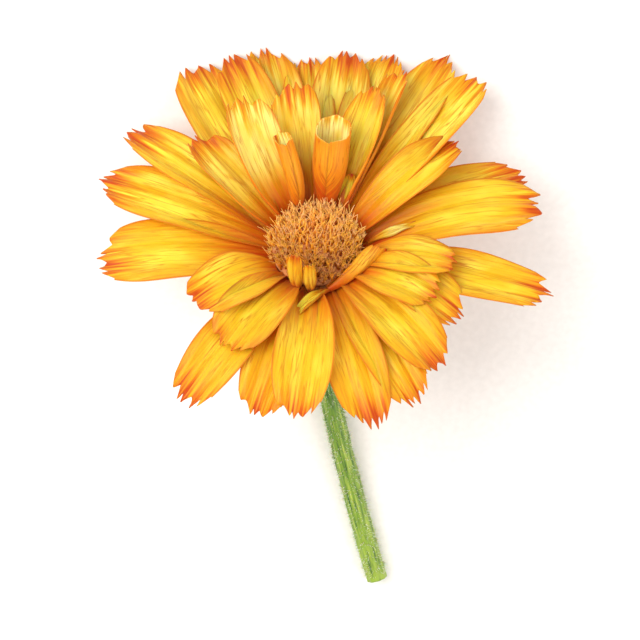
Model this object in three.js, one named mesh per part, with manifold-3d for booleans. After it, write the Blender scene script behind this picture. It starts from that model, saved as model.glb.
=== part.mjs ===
// A picked marigold flower lying on a surface: the head leans back on the petals of its far side and
// looks up at a slant, and its cut stalk bends down behind it and lies along the surface.
// Millimetres, +Z up. The surface is at Z = 0, and the face of the bloom looks towards +Y and up.
import * as THREE from 'three';
import Module from 'manifold-3d';

const wasm = await Module();
wasm.setup();

// ---- where the bloom is, and how it leans -------------------------------------------------------
const BLOOM_CENTRE = new THREE.Vector3(-1.25, 15.04, 18.2);
const FACE_ELEVATION = 40;          // degrees between the bloom's axis and the surface
const GAP = 0.3;                    // clearance between two pieces that touch on the flower

// ---- petals (ray florets) ------------------------------------------------------------------------
const PETAL_THICKNESS = 0.62;
const PETAL_COLUMNS = 6;            // one column edge on each tooth and on each notch between teeth
const CLAW_SHARE = 0.34;            // width at the root, as a share of the full width
const WIDEST_AT = 0.60;             // share of the length
const TIP_SHARE = 0.36;             // least width at the tip, as a share of the full width
const TIP_SHARE_SPREAD = 0.26;      // how much wider some tips are
const TOOTH_DEPTH = 0.062;          // share of the length
const TIP_ROUNDING = 0.075;         // how far the tip's corners lie behind its middle
const MOUTH_SLANT = 0.14;           // how far the mouth of a rolled petal slants back
const FOLD_LIMIT = 150;             // keeps the thick margins of a rolled petal apart
const PLEAT_HEIGHT = 0.20;          // lengthwise folds
const EDGE_WAVE = 0.45;
const FLOOR_SOFTNESS = 0.6;         // how gently a petal that meets the surface flattens on it

// Each petal is [azimuth, reach of the tip, rise of the tip, full width, arch, fold at the root,
// fold at the tip, roll, sway, hold, turn]: degrees and millimetres, with arch and sway as shares of
// the length. Hold is the share of the length that stays folded as at the root, and turn is how far
// round the root lies from the tip. Crease says how much of the fold is near the margins.
const OUTER_WHORL = {
  rows: 5,
  rootRadius: 7.8,
  rootHeight: -0.3,
  crease: 2.0,
  petals: [
    [186, 34.5, 3.0, 12.4, 0.10, 65, 26, 0, 0.02, 0, 0],
    [163, 36.0, 5.0, 11.0, 0.08, 80, 34, 6, 0.03, 0, 0],
    [147, 36.0, 6.5, 9.0, 0.10, 80, 40, 8, 0.03, 0, 0],
    [123, 37.0, 9.0, 12.2, 0.08, 70, 32, 10, 0.05, 0, 0],
    [114, 34.5, 10.5, 9.4, 0.06, 80, 36, -6, 0, 0, 0],
    [104, 35.4, 10.0, 9.4, 0.05, 80, 36, 4, 0, 0, 0],
    [93, 33.0, 9.0, 9.0, 0.06, 80, 32, 0, 0, 0, 0],
    [81, 33.0, 11.0, 10.2, 0.02, 70, 28, 0, 0, 0, 0],
    [70, 35.5, 9.5, 9.2, 0.06, 80, 28, -5, 0, 0, 0],
    [56, 38.5, 10.0, 9.6, 0.08, 80, 42, -8, -0.02, 0, 0],
    [45, 38.0, 11.0, 10.6, 0.08, 110, 80, -8, -0.03, 0.2, 0],
    [21, 36.0, 3.0, 10.4, 0.08, 80, 28, -4, 0, 0, 0],
    [7, 36.0, 6.0, 11.6, 0.10, 70, 24, -6, 0.02, 0, 0],
    [347, 37.8, 0.0, 9.4, 0.08, 80, 32, 0, -0.02, 0, 0],
    [300, 32.0, -2.0, 9.4, 0.14, 75, 34, 0, -0.03, 0, 0],
    [286, 32.8, -2.5, 10.0, 0.15, 75, 32, 5, -0.02, 0, 0],
    [264, 32.0, 0.0, 10.6, 0.16, 125, 34, 0, 0.02, 0.1, 0],
    [252, 31.0, -3.0, 9.6, 0.15, 70, 28, 0, 0.02, 0, 0],
    [232, 34.0, -3.0, 9.6, 0.15, 75, 36, 0, 0.03, 0, 0],
  ],
};
const MIDDLE_WHORL = {
  rows: 4,
  rootRadius: 7.8,
  rootHeight: 0.4,
  crease: 1.8,
  petals: [
    [62, 30.0, 12.5, 7.6, 0.04, 140, 100, -25, 0, 0.4, 0],
    [33, 27.0, 9.5, 10.0, 0.10, 95, 64, -12, -0.03, 0, 0],
    [343, 23.0, 6.0, 7.6, 0.12, 70, 28, 0, 0, 0, 0],
    [327, 22.5, 5.0, 9.0, 0.14, 70, 26, 10, 0, 0, 0],
    [329, 26.5, 1.5, 9.4, 0.16, 70, 28, 0, 0, 0, 0],
    [311, 30.0, 0.5, 10.0, 0.15, 70, 26, 0, -0.02, 0, 0],
    [235, 25.0, 3.0, 11.0, 0.16, 75, 28, 0, 0.02, 0, 0],
    [216, 23.5, 5.0, 10.6, 0.14, 75, 28, 0, 0, 0, 0],
    [100, 22.5, 15.5, 9.8, -0.02, 170, 32, 0, 0, 0.50, 0],
    [121, 23.5, 14.5, 11.0, 0.10, 130, 70, 12, 0.08, 0.2, 0],
    [143, 24.5, 11.0, 9.4, 0.06, 110, 62, 14, 0.04, 0.2, 0],
    [66, 24.5, 14.0, 9.0, 0.02, 140, 75, -14, 0, 0.3, 0],
  ],
};
const INNER_WHORL = {
  rows: 4,
  rootRadius: 8.9,
  rootHeight: 0.8,
  crease: 1.0,
  petals: [
    [79, 17.2, 13.8, 17.0, -0.05, 180, 180, 0, 0, 0.7, 0],
    [112, 15.8, 12.2, 8.4, 0.15, 180, 180, 0, 0, 0.7, 0],
    [62, 11.2, 5.5, 2.6, -0.05, 60, 45, 0, 0, 0, 0],
    [347, 11.2, 4.8, 6.8, -0.08, 150, 125, -30, 0, 0.7, 64],
    [247, 9.0, 11.0, 3.4, -0.10, 80, 60, 0, 0, 0, -3],
    [263, 9.0, 9.4, 2.8, -0.10, 80, 60, 0, 0, 0, -1],
    [257, 14.6, 2.6, 2.8, 0.10, 110, 80, 20, 0, 0.3, -28],
  ],
};

// ---- receptacle, disc and cup, along the bloom's axis --------------------------------------------
const CORE_RADIUS = 10.0;
const CORE_BOTTOM = -1.5;
const CORE_TOP = 1.5;
const DISC_RADIUS = 7.4;
const DISC_BASE = CORE_TOP + GAP;
const DISC_DOME_HEIGHT = 2.2;
const DISC_FLORETS = 64;
const FLORET_RADIUS = 0.62;
const FLORET_HEIGHT_RIM = 3.0;
const FLORET_HEIGHT_MIDDLE = 2.0;
const FLORET_LEAN = 16;             // degrees outward at the rim of the disc
const GOLDEN_ANGLE = 137.508;       // degrees from one floret to the next

const CUP_TOP = CORE_BOTTOM - GAP;
// Radius and height of the green cup, from its rim down to the stalk.
const CUP_PROFILE = [[9.9, CUP_TOP], [9.9, -3.2], [9.3, -5.2], [7.8, -7.4], [5.4, -9.4], [3.0, -11.0]];
const CUP_BOTTOM = -11.0;
const BRACTS_PER_ROW = 13;
const BRACT_THICKNESS = 0.7;
const BRACT_KEEL = 0.45;
// Bract rows: root, bend and tip as [radius, height], then width and turn of the row in steps.
const BRACT_ROWS = [
  { root: [4.3, -9.3], bend: [8.7, -7.7], tip: [12.6, -2.3], width: 2.9, turn: 0 },
  { root: [5.6, -8.0], bend: [9.2, -6.4], tip: [11.6, -2.1], width: 2.7, turn: 0.5 },
];

// ---- stalk ---------------------------------------------------------------------------------------
const STALK_RADIUS = 1.7;
const STALK_NECK_RADIUS = 2.7;      // where it joins the cup
const STALK_SIDES = 12;
const STALK_STEPS = 20;
const STALK_NECK_LENGTH = 7;
const STALK_NECK_PULL = 13;         // how far it keeps the bloom's own direction
const STALK_BEND = new THREE.Vector2(1.5, -18.56);    // where it turns along the surface
const STALK_END = new THREE.Vector2(8.75, -44.56);    // where its cut end lies
const STALK_RIB = 0.12;             // height of the lengthwise ribs

const rad = THREE.MathUtils.degToRad;
const FACE = new THREE.Vector3(0, Math.cos(rad(FACE_ELEVATION)), Math.sin(rad(FACE_ELEVATION)));
const ACROSS = new THREE.Vector3(1, 0, 0);
const TOP_OF_FACE = new THREE.Vector3().crossVectors(FACE, ACROSS);

// A point given in the bloom's own frame (across, towards its top edge, along its axis).
function inBloom(x, y, height) {
  return BLOOM_CENTRE.clone()
    .addScaledVector(ACROSS, x)
    .addScaledVector(TOP_OF_FACE, y)
    .addScaledVector(FACE, height);
}

// The same number from 0 to 1 for the same index, every time.
function draw(index) {
  const value = Math.sin(index * 12.9898) * 43758.5453;
  return value - Math.floor(value);
}

function makeSolid(points, triangles) {
  const vertProperties = new Float32Array(points.length * 3);
  points.forEach((p, i) => p.toArray(vertProperties, i * 3));
  return new wasm.Manifold(new wasm.Mesh({ numProp: 3, vertProperties, triVerts: new Uint32Array(triangles) }));
}

// The body itself, with any small hollow that the joined pieces shut in filled up.
function filled(solid) {
  return solid.decompose().reduce((best, piece) => (piece.volume() > best.volume() ? piece : best));
}

// A closed solid through rings of points, all with the same count, with a point at each end.
function solidOfRings(rings, startPoint, endPoint) {
  const count = rings[0].length;
  const points = [startPoint, ...rings.flat(), endPoint];
  const at = (ring, k) => 1 + ring * count + (k % count);
  const last = points.length - 1;
  const triangles = [];
  for (let k = 0; k < count; k += 1) {
    triangles.push(0, at(0, k + 1), at(0, k));
    for (let ring = 0; ring < rings.length - 1; ring += 1) {
      triangles.push(at(ring, k), at(ring, k + 1), at(ring + 1, k));
      triangles.push(at(ring, k + 1), at(ring + 1, k + 1), at(ring + 1, k));
    }
    triangles.push(last, at(rings.length - 1, k), at(rings.length - 1, k + 1));
  }
  return makeSolid(points, triangles);
}

// A closed solid of revolution about the bloom's axis, from a list of [radius, height] going up.
function turned(profile, sides) {
  const rings = profile.map(([radius, height]) => Array.from({ length: sides }, (_, k) => {
    const angle = (2 * Math.PI * k) / sides;
    return inBloom(radius * Math.cos(angle), radius * Math.sin(angle), height);
  }));
  const bottom = inBloom(0, 0, profile[0][1]);
  const top = inBloom(0, 0, profile[profile.length - 1][1]);
  return solidOfRings(rings, bottom, top);
}

// A thin closed blade about a grid of middle points. Both faces are split along the same diagonals.
function blade(grid, thickness) {
  const rows = grid.length - 1;
  const columns = grid[0].length - 1;
  const clampRow = (i) => Math.min(rows, Math.max(0, i));
  const clampColumn = (j) => Math.min(columns, Math.max(0, j));
  const front = [];
  const back = [];
  for (let i = 0; i <= rows; i += 1) {
    for (let j = 0; j <= columns; j += 1) {
      const along = grid[clampRow(i + 1)][j].clone().sub(grid[clampRow(i - 1)][j]);
      const across = grid[i][clampColumn(j + 1)].clone().sub(grid[i][clampColumn(j - 1)]);
      const normal = along.cross(across).normalize();
      front.push(grid[i][j].clone().addScaledVector(normal, thickness / 2));
      back.push(grid[i][j].clone().addScaledVector(normal, -thickness / 2));
    }
  }
  const total = front.length;
  const at = (i, j) => i * (columns + 1) + j;
  const triangles = [];
  for (let i = 0; i < rows; i += 1) {
    for (let j = 0; j < columns; j += 1) {
      const [a, b, c, d] = [at(i, j), at(i + 1, j), at(i, j + 1), at(i + 1, j + 1)];
      triangles.push(a, b, c, b, d, c);
      triangles.push(a + total, c + total, b + total, b + total, c + total, d + total);
    }
  }
  const rim = [];
  for (let i = 0; i < rows; i += 1) rim.push([at(i, 0), at(i + 1, 0)]);
  for (let j = 0; j < columns; j += 1) rim.push([at(rows, j), at(rows, j + 1)]);
  for (let i = rows; i > 0; i -= 1) rim.push([at(i, columns), at(i - 1, columns)]);
  for (let j = columns; j > 0; j -= 1) rim.push([at(0, j), at(0, j - 1)]);
  for (const [a, b] of rim) triangles.push(b, a, a + total, b, a + total, b + total);
  return makeSolid([...front, ...back], triangles);
}

// ---- one petal -----------------------------------------------------------------------------------
// A point of the bloom's frame at this angle and distance from its axis.
function spoke(degrees, radius, height) {
  return new THREE.Vector3(radius * Math.cos(rad(degrees)), radius * Math.sin(rad(degrees)), height);
}

// Where the section of a petal is at t, from -1 to 1: it climbs at an angle of fold * |t|^crease.
function section(t, fold, crease) {
  const STEPS = 10;
  let x = 0;
  let z = 0;
  for (let k = 0; k < STEPS; k += 1) {
    const climb = fold * Math.abs((t * (k + 0.5)) / STEPS) ** crease;
    x += (t / STEPS) * Math.cos(climb);
    z += (Math.abs(t) / STEPS) * Math.sin(climb);
  }
  return [x, z];
}

// Its midline is a quadratic curve from the receptacle to the tip. Its cross-section is flat in the
// middle and turns up at the margins, with pleats, and it ends in three teeth. A petal that is rolled
// into a tube keeps its width to the end, and its mouth slants like that of a quill.
function petal(whorl, row, index) {
  const [azimuth, reach, rise, width, arch, rootFold, tipFold, roll, sway, hold, turn] = row;
  const root = spoke(azimuth - turn, whorl.rootRadius, whorl.rootHeight);
  const tip = spoke(azimuth, reach, rise);
  const side = spoke(azimuth - turn / 2 + 90, 1, 0);
  const chord = tip.clone().sub(root);
  const length = chord.length();
  const lift = chord.clone().cross(side).normalize();
  const bend = root.clone().add(tip).multiplyScalar(0.5)
    .addScaledVector(lift, 2 * arch * length)
    .addScaledVector(side, 2 * sway * length);
  const skew = (draw(index) - 0.5) * 0.05;
  const rolled = (tipFold / 180) ** 2;
  const toothDepth = TOOTH_DEPTH * (0.7 + 0.6 * draw(index + 7)) * (1 - 0.7 * rolled);
  const pointed = (1 - TIP_SHARE - TIP_SHARE_SPREAD * draw(index + 17)) * (1 - rolled);
  const wavePhase = draw(index + 3);

  const grid = [];
  for (let i = 0; i <= whorl.rows; i += 1) {
    const line = [];
    for (let j = 0; j <= PETAL_COLUMNS; j += 1) {
      const t = (2 * j) / PETAL_COLUMNS - 1;
      const turnOfTooth = (t * 1.5 + 0.5 + 2) % 1;
      const notch = Math.abs(2 * turnOfTooth - 1);
      const rounding = TIP_ROUNDING * (1 - rolled) * t * t;
      const slant = (MOUTH_SLANT * rolled * (1 - Math.cos(Math.PI * t))) / 2;
      const end = 1 - toothDepth * notch - rounding - slant + skew * t;
      const u = (i / whorl.rows) * end;
      const middle = root.clone().multiplyScalar((1 - u) ** 2)
        .addScaledVector(bend, 2 * u * (1 - u))
        .addScaledVector(tip, u * u);
      const along = bend.clone().sub(root).multiplyScalar(2 * (1 - u))
        .addScaledVector(tip.clone().sub(bend), 2 * u).normalize();
      const flat = side.clone().addScaledVector(along, -side.dot(along)).normalize();
      const up = along.clone().cross(flat);
      const grown = CLAW_SHARE + (1 - CLAW_SHARE) * Math.sin((Math.PI / 2) * Math.min(u / WIDEST_AT, 1));
      const past = Math.max(0, (u - WIDEST_AT) / (1 - WIDEST_AT));
      const half = (width / 2) * grown * (1 - pointed * past ** 2.2);
      const opened = (Math.max(0, u - hold) / (1 - hold)) ** 0.7;
      const fold = rad(Math.min(FOLD_LIMIT, rootFold + (tipFold - rootFold) * opened));
      const [across, climb] = section(t, fold, whorl.crease);
      const pleat = PLEAT_HEIGHT * Math.min(1, 3 * u) * Math.cos(3 * Math.PI * t);
      const wave = EDGE_WAVE * Math.sin(2 * Math.PI * (1.7 * u + wavePhase)) * t * Math.abs(t) * u;
      const x = half * across;
      const z = half * climb + pleat + wave * (1 - rolled);
      const twist = rad(roll) * u;
      const local = middle
        .addScaledVector(flat, x * Math.cos(twist) - z * Math.sin(twist))
        .addScaledVector(up, x * Math.sin(twist) + z * Math.cos(twist));
      const point = inBloom(local.x, local.y, local.z);
      const above = point.z - PETAL_THICKNESS / 2;
      point.z = PETAL_THICKNESS / 2 + (above + Math.hypot(above, FLOOR_SOFTNESS)) / 2;
      line.push(point);
    }
    grid.push(line);
  }
  return blade(grid, PETAL_THICKNESS);
}

// ---- the ray florets and the receptacle that they grow from --------------------------------------
let rayFlorets = turned([[CORE_RADIUS - 1, CORE_BOTTOM], [CORE_RADIUS, CORE_BOTTOM + 1],
  [CORE_RADIUS, CORE_TOP - 0.8], [CORE_RADIUS - 0.8, CORE_TOP]], 28);
let petalIndex = 0;
for (const whorl of [OUTER_WHORL, MIDDLE_WHORL, INNER_WHORL]) {
  for (const row of whorl.petals) {
    petalIndex += 1;
    rayFlorets = rayFlorets.add(petal(whorl, row, petalIndex));
  }
}
// Room for the disc, so that curled petals stand clear of it.
const discRoom = turned([[DISC_RADIUS + 1.0, CORE_TOP], [DISC_RADIUS + 1.15, 4.6],
  [DISC_RADIUS - 0.6, 7.0], [2.5, 8.0]], 28);
rayFlorets = filled(rayFlorets.subtract(discRoom));

// ---- the disc: a low dome set with small tube florets on a sunflower spiral ----------------------
function domeHeight(radius) {
  return DISC_BASE + DISC_DOME_HEIGHT * (1 - (radius / DISC_RADIUS) ** 2);
}
let discFlorets = turned([[DISC_RADIUS, DISC_BASE], [DISC_RADIUS, DISC_BASE + 0.5],
  [DISC_RADIUS * 0.75, domeHeight(DISC_RADIUS * 0.75) + 0.3],
  [DISC_RADIUS * 0.4, domeHeight(DISC_RADIUS * 0.4) + 0.3]], 20);
for (let k = 0; k < DISC_FLORETS; k += 1) {
  const share = Math.sqrt((k + 0.5) / DISC_FLORETS);
  const radius = (DISC_RADIUS - 0.35) * share;
  const angle = rad(GOLDEN_ANGLE * k);
  const height = FLORET_HEIGHT_MIDDLE + (FLORET_HEIGHT_RIM - FLORET_HEIGHT_MIDDLE) * share ** 2
    + 0.5 * (draw(k + 40) - 0.5);
  const lean = rad(FLORET_LEAN) * share + 0.16 * (draw(k + 300) - 0.5);
  const swing = angle + 0.7 * (draw(k + 700) - 0.5);
  const foot = new THREE.Vector3(radius * Math.cos(angle), radius * Math.sin(angle), domeHeight(radius));
  const axis = new THREE.Vector3(Math.sin(lean) * Math.cos(swing), Math.sin(lean) * Math.sin(swing),
    Math.cos(lean));
  const first = new THREE.Vector3(-Math.sin(angle), Math.cos(angle), 0);
  first.addScaledVector(axis, -first.dot(axis)).normalize();
  const second = axis.clone().cross(first);
  const sink = Math.min(0.9, foot.z - DISC_BASE - 0.1);
  const stations = [[-sink, 0.8], [0.55 * height, 0.85], [0.86 * height, 1.08]];
  const rings = stations.map(([along, size]) => Array.from({ length: 5 }, (_, side) => {
    const turn = (2 * Math.PI * side) / 5;
    const p = foot.clone().addScaledVector(axis, along)
      .addScaledVector(first, FLORET_RADIUS * size * Math.cos(turn))
      .addScaledVector(second, FLORET_RADIUS * size * Math.sin(turn));
    return inBloom(p.x, p.y, p.z);
  }));
  const bottom = foot.clone().addScaledVector(axis, -sink);
  const top = foot.clone().addScaledVector(axis, height);
  discFlorets = discFlorets.add(solidOfRings(rings, inBloom(bottom.x, bottom.y, bottom.z),
    inBloom(top.x, top.y, top.z)));
}

// ---- the green cup with its two rows of bracts ---------------------------------------------------
function bract(row, turnAngle, index) {
  const ROWS = 4;
  const out = new THREE.Vector3(Math.cos(turnAngle), Math.sin(turnAngle), 0);
  const side = new THREE.Vector3(-Math.sin(turnAngle), Math.cos(turnAngle), 0);
  const tipReach = row.tip[0] + 0.8 * (draw(index + 90) - 0.5);
  const grid = [];
  for (let i = 0; i <= ROWS; i += 1) {
    const s = i / ROWS;
    const mix = (k, last) => (1 - s) ** 2 * row.root[k] + 2 * s * (1 - s) * row.bend[k] + s * s * last;
    const radius = mix(0, tipReach);
    const height = mix(1, row.tip[1]);
    const half = (row.width / 2) * (s < 0.45 ? 0.72 + 0.62 * s : 1 - 0.84 * ((s - 0.45) / 0.55) ** 1.5);
    const line = [];
    for (let j = -1; j <= 1; j += 1) {
      const dip = Math.abs(j) * BRACT_KEEL;
      const p = out.clone().multiplyScalar(radius - dip).addScaledVector(side, -j * half);
      line.push(inBloom(p.x, p.y, height + 0.4 * dip));
    }
    grid.push(line);
  }
  return blade(grid, BRACT_THICKNESS);
}
let involucre = turned([...CUP_PROFILE].reverse(), 26);
BRACT_ROWS.forEach((row, rowIndex) => {
  for (let k = 0; k < BRACTS_PER_ROW; k += 1) {
    const turnAngle = (2 * Math.PI * (k + row.turn)) / BRACTS_PER_ROW;
    involucre = involucre.add(bract(row, turnAngle, rowIndex * BRACTS_PER_ROW + k));
  }
});

// ---- the stalk -----------------------------------------------------------------------------------
// It leaves the cup along the bloom's axis, bends over and lies along the surface to its cut end.
const neckTop = inBloom(0, 0, CUP_BOTTOM - GAP);
const stalkPath = new THREE.CubicBezierCurve3(
  neckTop,
  neckTop.clone().addScaledVector(FACE, -STALK_NECK_PULL),
  new THREE.Vector3(STALK_BEND.x, STALK_BEND.y, STALK_RADIUS),
  new THREE.Vector3(STALK_END.x, STALK_END.y, STALK_RADIUS),
);
const stalkLength = stalkPath.getLength();
const stalkRings = [];
for (let i = 0; i <= STALK_STEPS; i += 1) {
  const share = i / STALK_STEPS;
  const centre = stalkPath.getPointAt(share);
  const along = stalkPath.getTangentAt(share);
  const level = new THREE.Vector3(0, 0, 1).cross(along).normalize();
  const upright = along.clone().cross(level);
  const neck = Math.max(0, 1 - (share * stalkLength) / STALK_NECK_LENGTH);
  const radius = STALK_RADIUS + (STALK_NECK_RADIUS - STALK_RADIUS) * neck ** 1.6;
  const ring = [];
  for (let k = 0; k < STALK_SIDES; k += 1) {
    const turn = (2 * Math.PI * (k + 0.5)) / STALK_SIDES;
    const size = radius + (k % 2 === 0 ? STALK_RIB / 2 : -STALK_RIB / 2);
    const point = centre.clone()
      .addScaledVector(level, size * Math.cos(turn))
      .addScaledVector(upright, size * Math.sin(turn));
    point.z = Math.max(0, point.z);
    ring.push(point);
  }
  stalkRings.push(ring);
}
const stem = solidOfRings(stalkRings, stalkPath.getPointAt(0), stalkPath.getPointAt(1));

// ---- the flower ----------------------------------------------------------------------------------
function meshOf(name, solid, color, roughness) {
  const { vertProperties, triVerts, numProp } = solid.getMesh();
  const positions = new Float32Array((vertProperties.length / numProp) * 3);
  for (let i = 0; i < positions.length / 3; i += 1) {
    for (let k = 0; k < 3; k += 1) positions[i * 3 + k] = vertProperties[i * numProp + k];
  }
  const geometry = new THREE.BufferGeometry();
  geometry.setAttribute('position', new THREE.BufferAttribute(positions, 3));
  geometry.setIndex(new THREE.BufferAttribute(new Uint32Array(triVerts), 1));
  geometry.computeVertexNormals();
  const mesh = new THREE.Mesh(geometry, new THREE.MeshStandardMaterial({ color, roughness, metalness: 0 }));
  mesh.name = name;
  return mesh;
}

const flower = new THREE.Group();
flower.name = 'marigold_flower';
flower.add(meshOf('ray_florets', rayFlorets, 0xfbbf24, 0.55));
flower.add(meshOf('disc_florets', discFlorets, 0xd98a4a, 0.7));
flower.add(meshOf('involucre', involucre, 0x4f7a2c, 0.7));
flower.add(meshOf('stem', stem, 0x86a94b, 0.6));

export default flower;
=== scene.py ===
# %% [markdown]
# # A picked marigold, dressed in Blender
#
# This lesson dresses one double pot marigold (Calendula) that has been picked and laid down. The
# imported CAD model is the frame: it says where the bloom, the disc, the green cup and the stalk are.
# Each step below replaces one of those solids with a finer surface of the same form, worked out
# with numpy as a function on a grid, and gives it a material that is made of nodes.

# %% Load the frame
import math
from functools import partial

import bpy
import numpy as np
from mathutils import Matrix


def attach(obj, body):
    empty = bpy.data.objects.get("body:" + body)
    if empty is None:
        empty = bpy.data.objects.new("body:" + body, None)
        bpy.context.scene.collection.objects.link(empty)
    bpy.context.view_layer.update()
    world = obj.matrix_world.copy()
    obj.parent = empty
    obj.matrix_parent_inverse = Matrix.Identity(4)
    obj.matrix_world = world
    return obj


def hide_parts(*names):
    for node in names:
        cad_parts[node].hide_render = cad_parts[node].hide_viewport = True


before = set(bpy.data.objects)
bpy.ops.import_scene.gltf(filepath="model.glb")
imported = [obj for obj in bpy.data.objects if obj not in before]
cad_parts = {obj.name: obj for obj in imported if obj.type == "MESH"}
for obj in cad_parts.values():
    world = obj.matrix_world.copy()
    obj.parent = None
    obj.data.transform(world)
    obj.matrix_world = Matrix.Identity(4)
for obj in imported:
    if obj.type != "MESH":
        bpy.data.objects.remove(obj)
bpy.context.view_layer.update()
print("CAD nodes:", sorted(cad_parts))

# %% [markdown]
# ## Small helpers
#
# Colours are written as a paint chart gives them, as sRGB hex, and one function turns them into the
# linear numbers that Blender computes with. Every new mesh goes through one function too: it takes
# arrays of points in millimetres and of faces, and stores extra numbers per point, such as "how far
# along the petal is this", which the materials read.

# %% Colour and mesh
MM = 0.001
UP = np.array([0.0, 0.0, 1.0])


def colour(code):
    """sRGB hex to linear RGBA: below 0.04045 the value is divided by 12.92, above it is
    ((value + 0.055) / 1.055) to the power 2.4."""
    channels = np.array([int(code[i:i + 2], 16) for i in (1, 3, 5)]) / 255
    linear = np.where(channels <= 0.04045, channels / 12.92, ((channels + 0.055) / 1.055) ** 2.4)
    return (*linear.tolist(), 1.0)


def new_mesh(name, points_mm, faces, values, material, smooth=True):
    """One object from an (n, 3) array of points in mm and a list of (m, 3) or (m, 4) face arrays.
    values holds one number per point for each named attribute."""
    corners = np.concatenate([f.ravel() for f in faces]).astype(np.int32)
    totals = np.concatenate([np.full(len(f), f.shape[1]) for f in faces]).astype(np.int32)
    starts = np.concatenate([[0], np.cumsum(totals)[:-1]]).astype(np.int32)
    mesh = bpy.data.meshes.new(name)
    mesh.vertices.add(len(points_mm))
    mesh.vertices.foreach_set("co", (points_mm * MM).astype(np.float32).ravel())
    mesh.loops.add(len(corners))
    mesh.loops.foreach_set("vertex_index", corners)
    mesh.polygons.add(len(totals))
    mesh.polygons.foreach_set("loop_start", starts)
    mesh.polygons.foreach_set("use_smooth", np.full(len(totals), smooth))
    for key, numbers in values.items():
        layer = mesh.attributes.new(key, "FLOAT", "POINT")
        layer.data.foreach_set("value", np.asarray(numbers, np.float32).ravel())
    mesh.materials.append(material)
    mesh.update(calc_edges=True)
    mesh.validate()
    piece = bpy.data.objects.new(name, mesh)
    bpy.context.scene.collection.objects.link(piece)
    print(f"{name}: {len(points_mm)} points, {int((totals - 2).sum())} triangles")
    return piece


# %% [markdown]
# A material is a graph of nodes. One function adds a node of any kind: it fills the sockets with
# numbers or with links from other nodes, sets the node's own options, and hands back the output
# that the next node needs. new_material hands back that function, already tied to its material.

# %% Nodes
def add_node(tree, kind, inputs=(), out=0, stops=(), **settings):
    """Adds one shader node. inputs is a row of values for the first sockets, or a dict from socket
    to value. stops are (position, hex) pairs for a colour ramp: its two ends first, because a new
    ramp already has those, and then the stops between them. Returns the output named out."""
    made = tree.nodes.new("ShaderNode" + kind)
    for key, value in settings.items():
        setattr(made, key, value)
    sockets = inputs if isinstance(inputs, dict) else dict(enumerate(inputs))
    for socket, value in sockets.items():
        if isinstance(value, bpy.types.NodeSocket):
            tree.links.new(value, made.inputs[socket])
        else:
            made.inputs[socket].default_value = value
    for count, (position, code) in enumerate(stops):
        elements = made.color_ramp.elements
        element = elements[count] if count < 2 else elements.new(position)
        element.position = position
        element.color = colour(code)
    return made.outputs[out] if made.outputs else made


def new_material(name):
    """An empty node material: returns the material and the function that adds nodes to it."""
    material = bpy.data.materials.new(name)
    material.use_nodes = True
    material.node_tree.nodes.clear()
    return material, partial(add_node, material.node_tree)


def mottle(add, size_mm):
    """Noise in the object's own coordinates, with patches size_mm wide."""
    place = add("TexCoord", out="Object")
    return add("TexNoise", {"Vector": place, "Scale": 1 / (size_mm * MM)}, out="Fac")


def streaks_along(add, across_mm, along_mm, layer, width_mm, stretch, detail=2.0):
    """Noise in the numbers that each point holds: its cells are width_mm wide and stretch times as
    long. Every value of layer gives another pattern."""
    place = add("CombineXYZ", (
        add("Math", (across_mm, width_mm), operation="DIVIDE"),
        add("Math", (along_mm, width_mm * stretch), operation="DIVIDE"), layer))
    return add("TexNoise", {"Vector": place, "Scale": 1.0, "Detail": detail}, out="Fac")


# a Mix node has sockets for every kind of value, and these are the ones that mix colours
MIX_BY = 0
UNDER = 6
OVER = 7
COLOURS = {"out": 2, "data_type": "RGBA"}
SMOOTH = {"interpolation_type": "SMOOTHSTEP"}

# %% [markdown]
# ## Where the bloom is
#
# The bloom has a frame of its own: "across" is level, "top" points to the edge of the face that is
# uppermost in the picture, and "face" is the axis that the flower looks along. The head could be
# modelled level and its objects turned at the end. Here one function turns the points instead,
# because every object has to sit unturned at the origin. The numbers are those of the CAD source.

# %% The bloom's own frame
BLOOM_CENTRE = np.array([-1.25, 15.04, 18.2])
FACE_ELEVATION = math.radians(40)
ACROSS = np.array([1.0, 0.0, 0.0])
FACE = np.array([0.0, math.cos(FACE_ELEVATION), math.sin(FACE_ELEVATION)])
TOP = np.cross(FACE, ACROSS)


def in_bloom(points):
    """Bloom frame to world frame: centre + x * across + y * top + z * face."""
    return BLOOM_CENTRE + points[..., 0:1] * ACROSS + points[..., 1:2] * TOP + points[..., 2:3] * FACE


def draw(index):
    """The same number from 0 to 1 for the same index: the fraction of 43758.5453 * sin(12.9898 i).
    Each use shifts the index by a number of its own, so that no two draws go together."""
    value = np.sin(np.asarray(index, float) * 12.9898) * 43758.5453
    return value - np.floor(value)


def unit(vectors):
    """Each vector divided by its length."""
    return vectors / np.maximum(np.linalg.norm(vectors, axis=-1, keepdims=True), 1e-12)


def spoke(angle, radius=1.0):
    """Points of the bloom's frame at this angle and distance from its axis."""
    return np.stack([radius * np.cos(angle), radius * np.sin(angle), 0 * angle], -1)


print("the bloom looks along", FACE.round(3))

# %% [markdown]
# ## Camera, floor and light
#
# A picked flower lies down, so the camera looks down on it. It stands where it sees the face of the
# bloom tilted back by 35 degrees, with the face's axis pointing straight up in the picture. A long
# lens from far away keeps near and far petals in proportion. The floor is a plain pale sheet, and
# the light is a large soft window from the upper left, because hard light would hide the streaks.

# %% Camera
VIEW_TILT = math.radians(35)
LENS_MM = 240
SENSOR_MM = 36
FRAME_HEIGHT_MM = 101.0
AIM_BELOW_CENTRE_MM = 10.6
AIM_RIGHT_MM = 0.6

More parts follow.
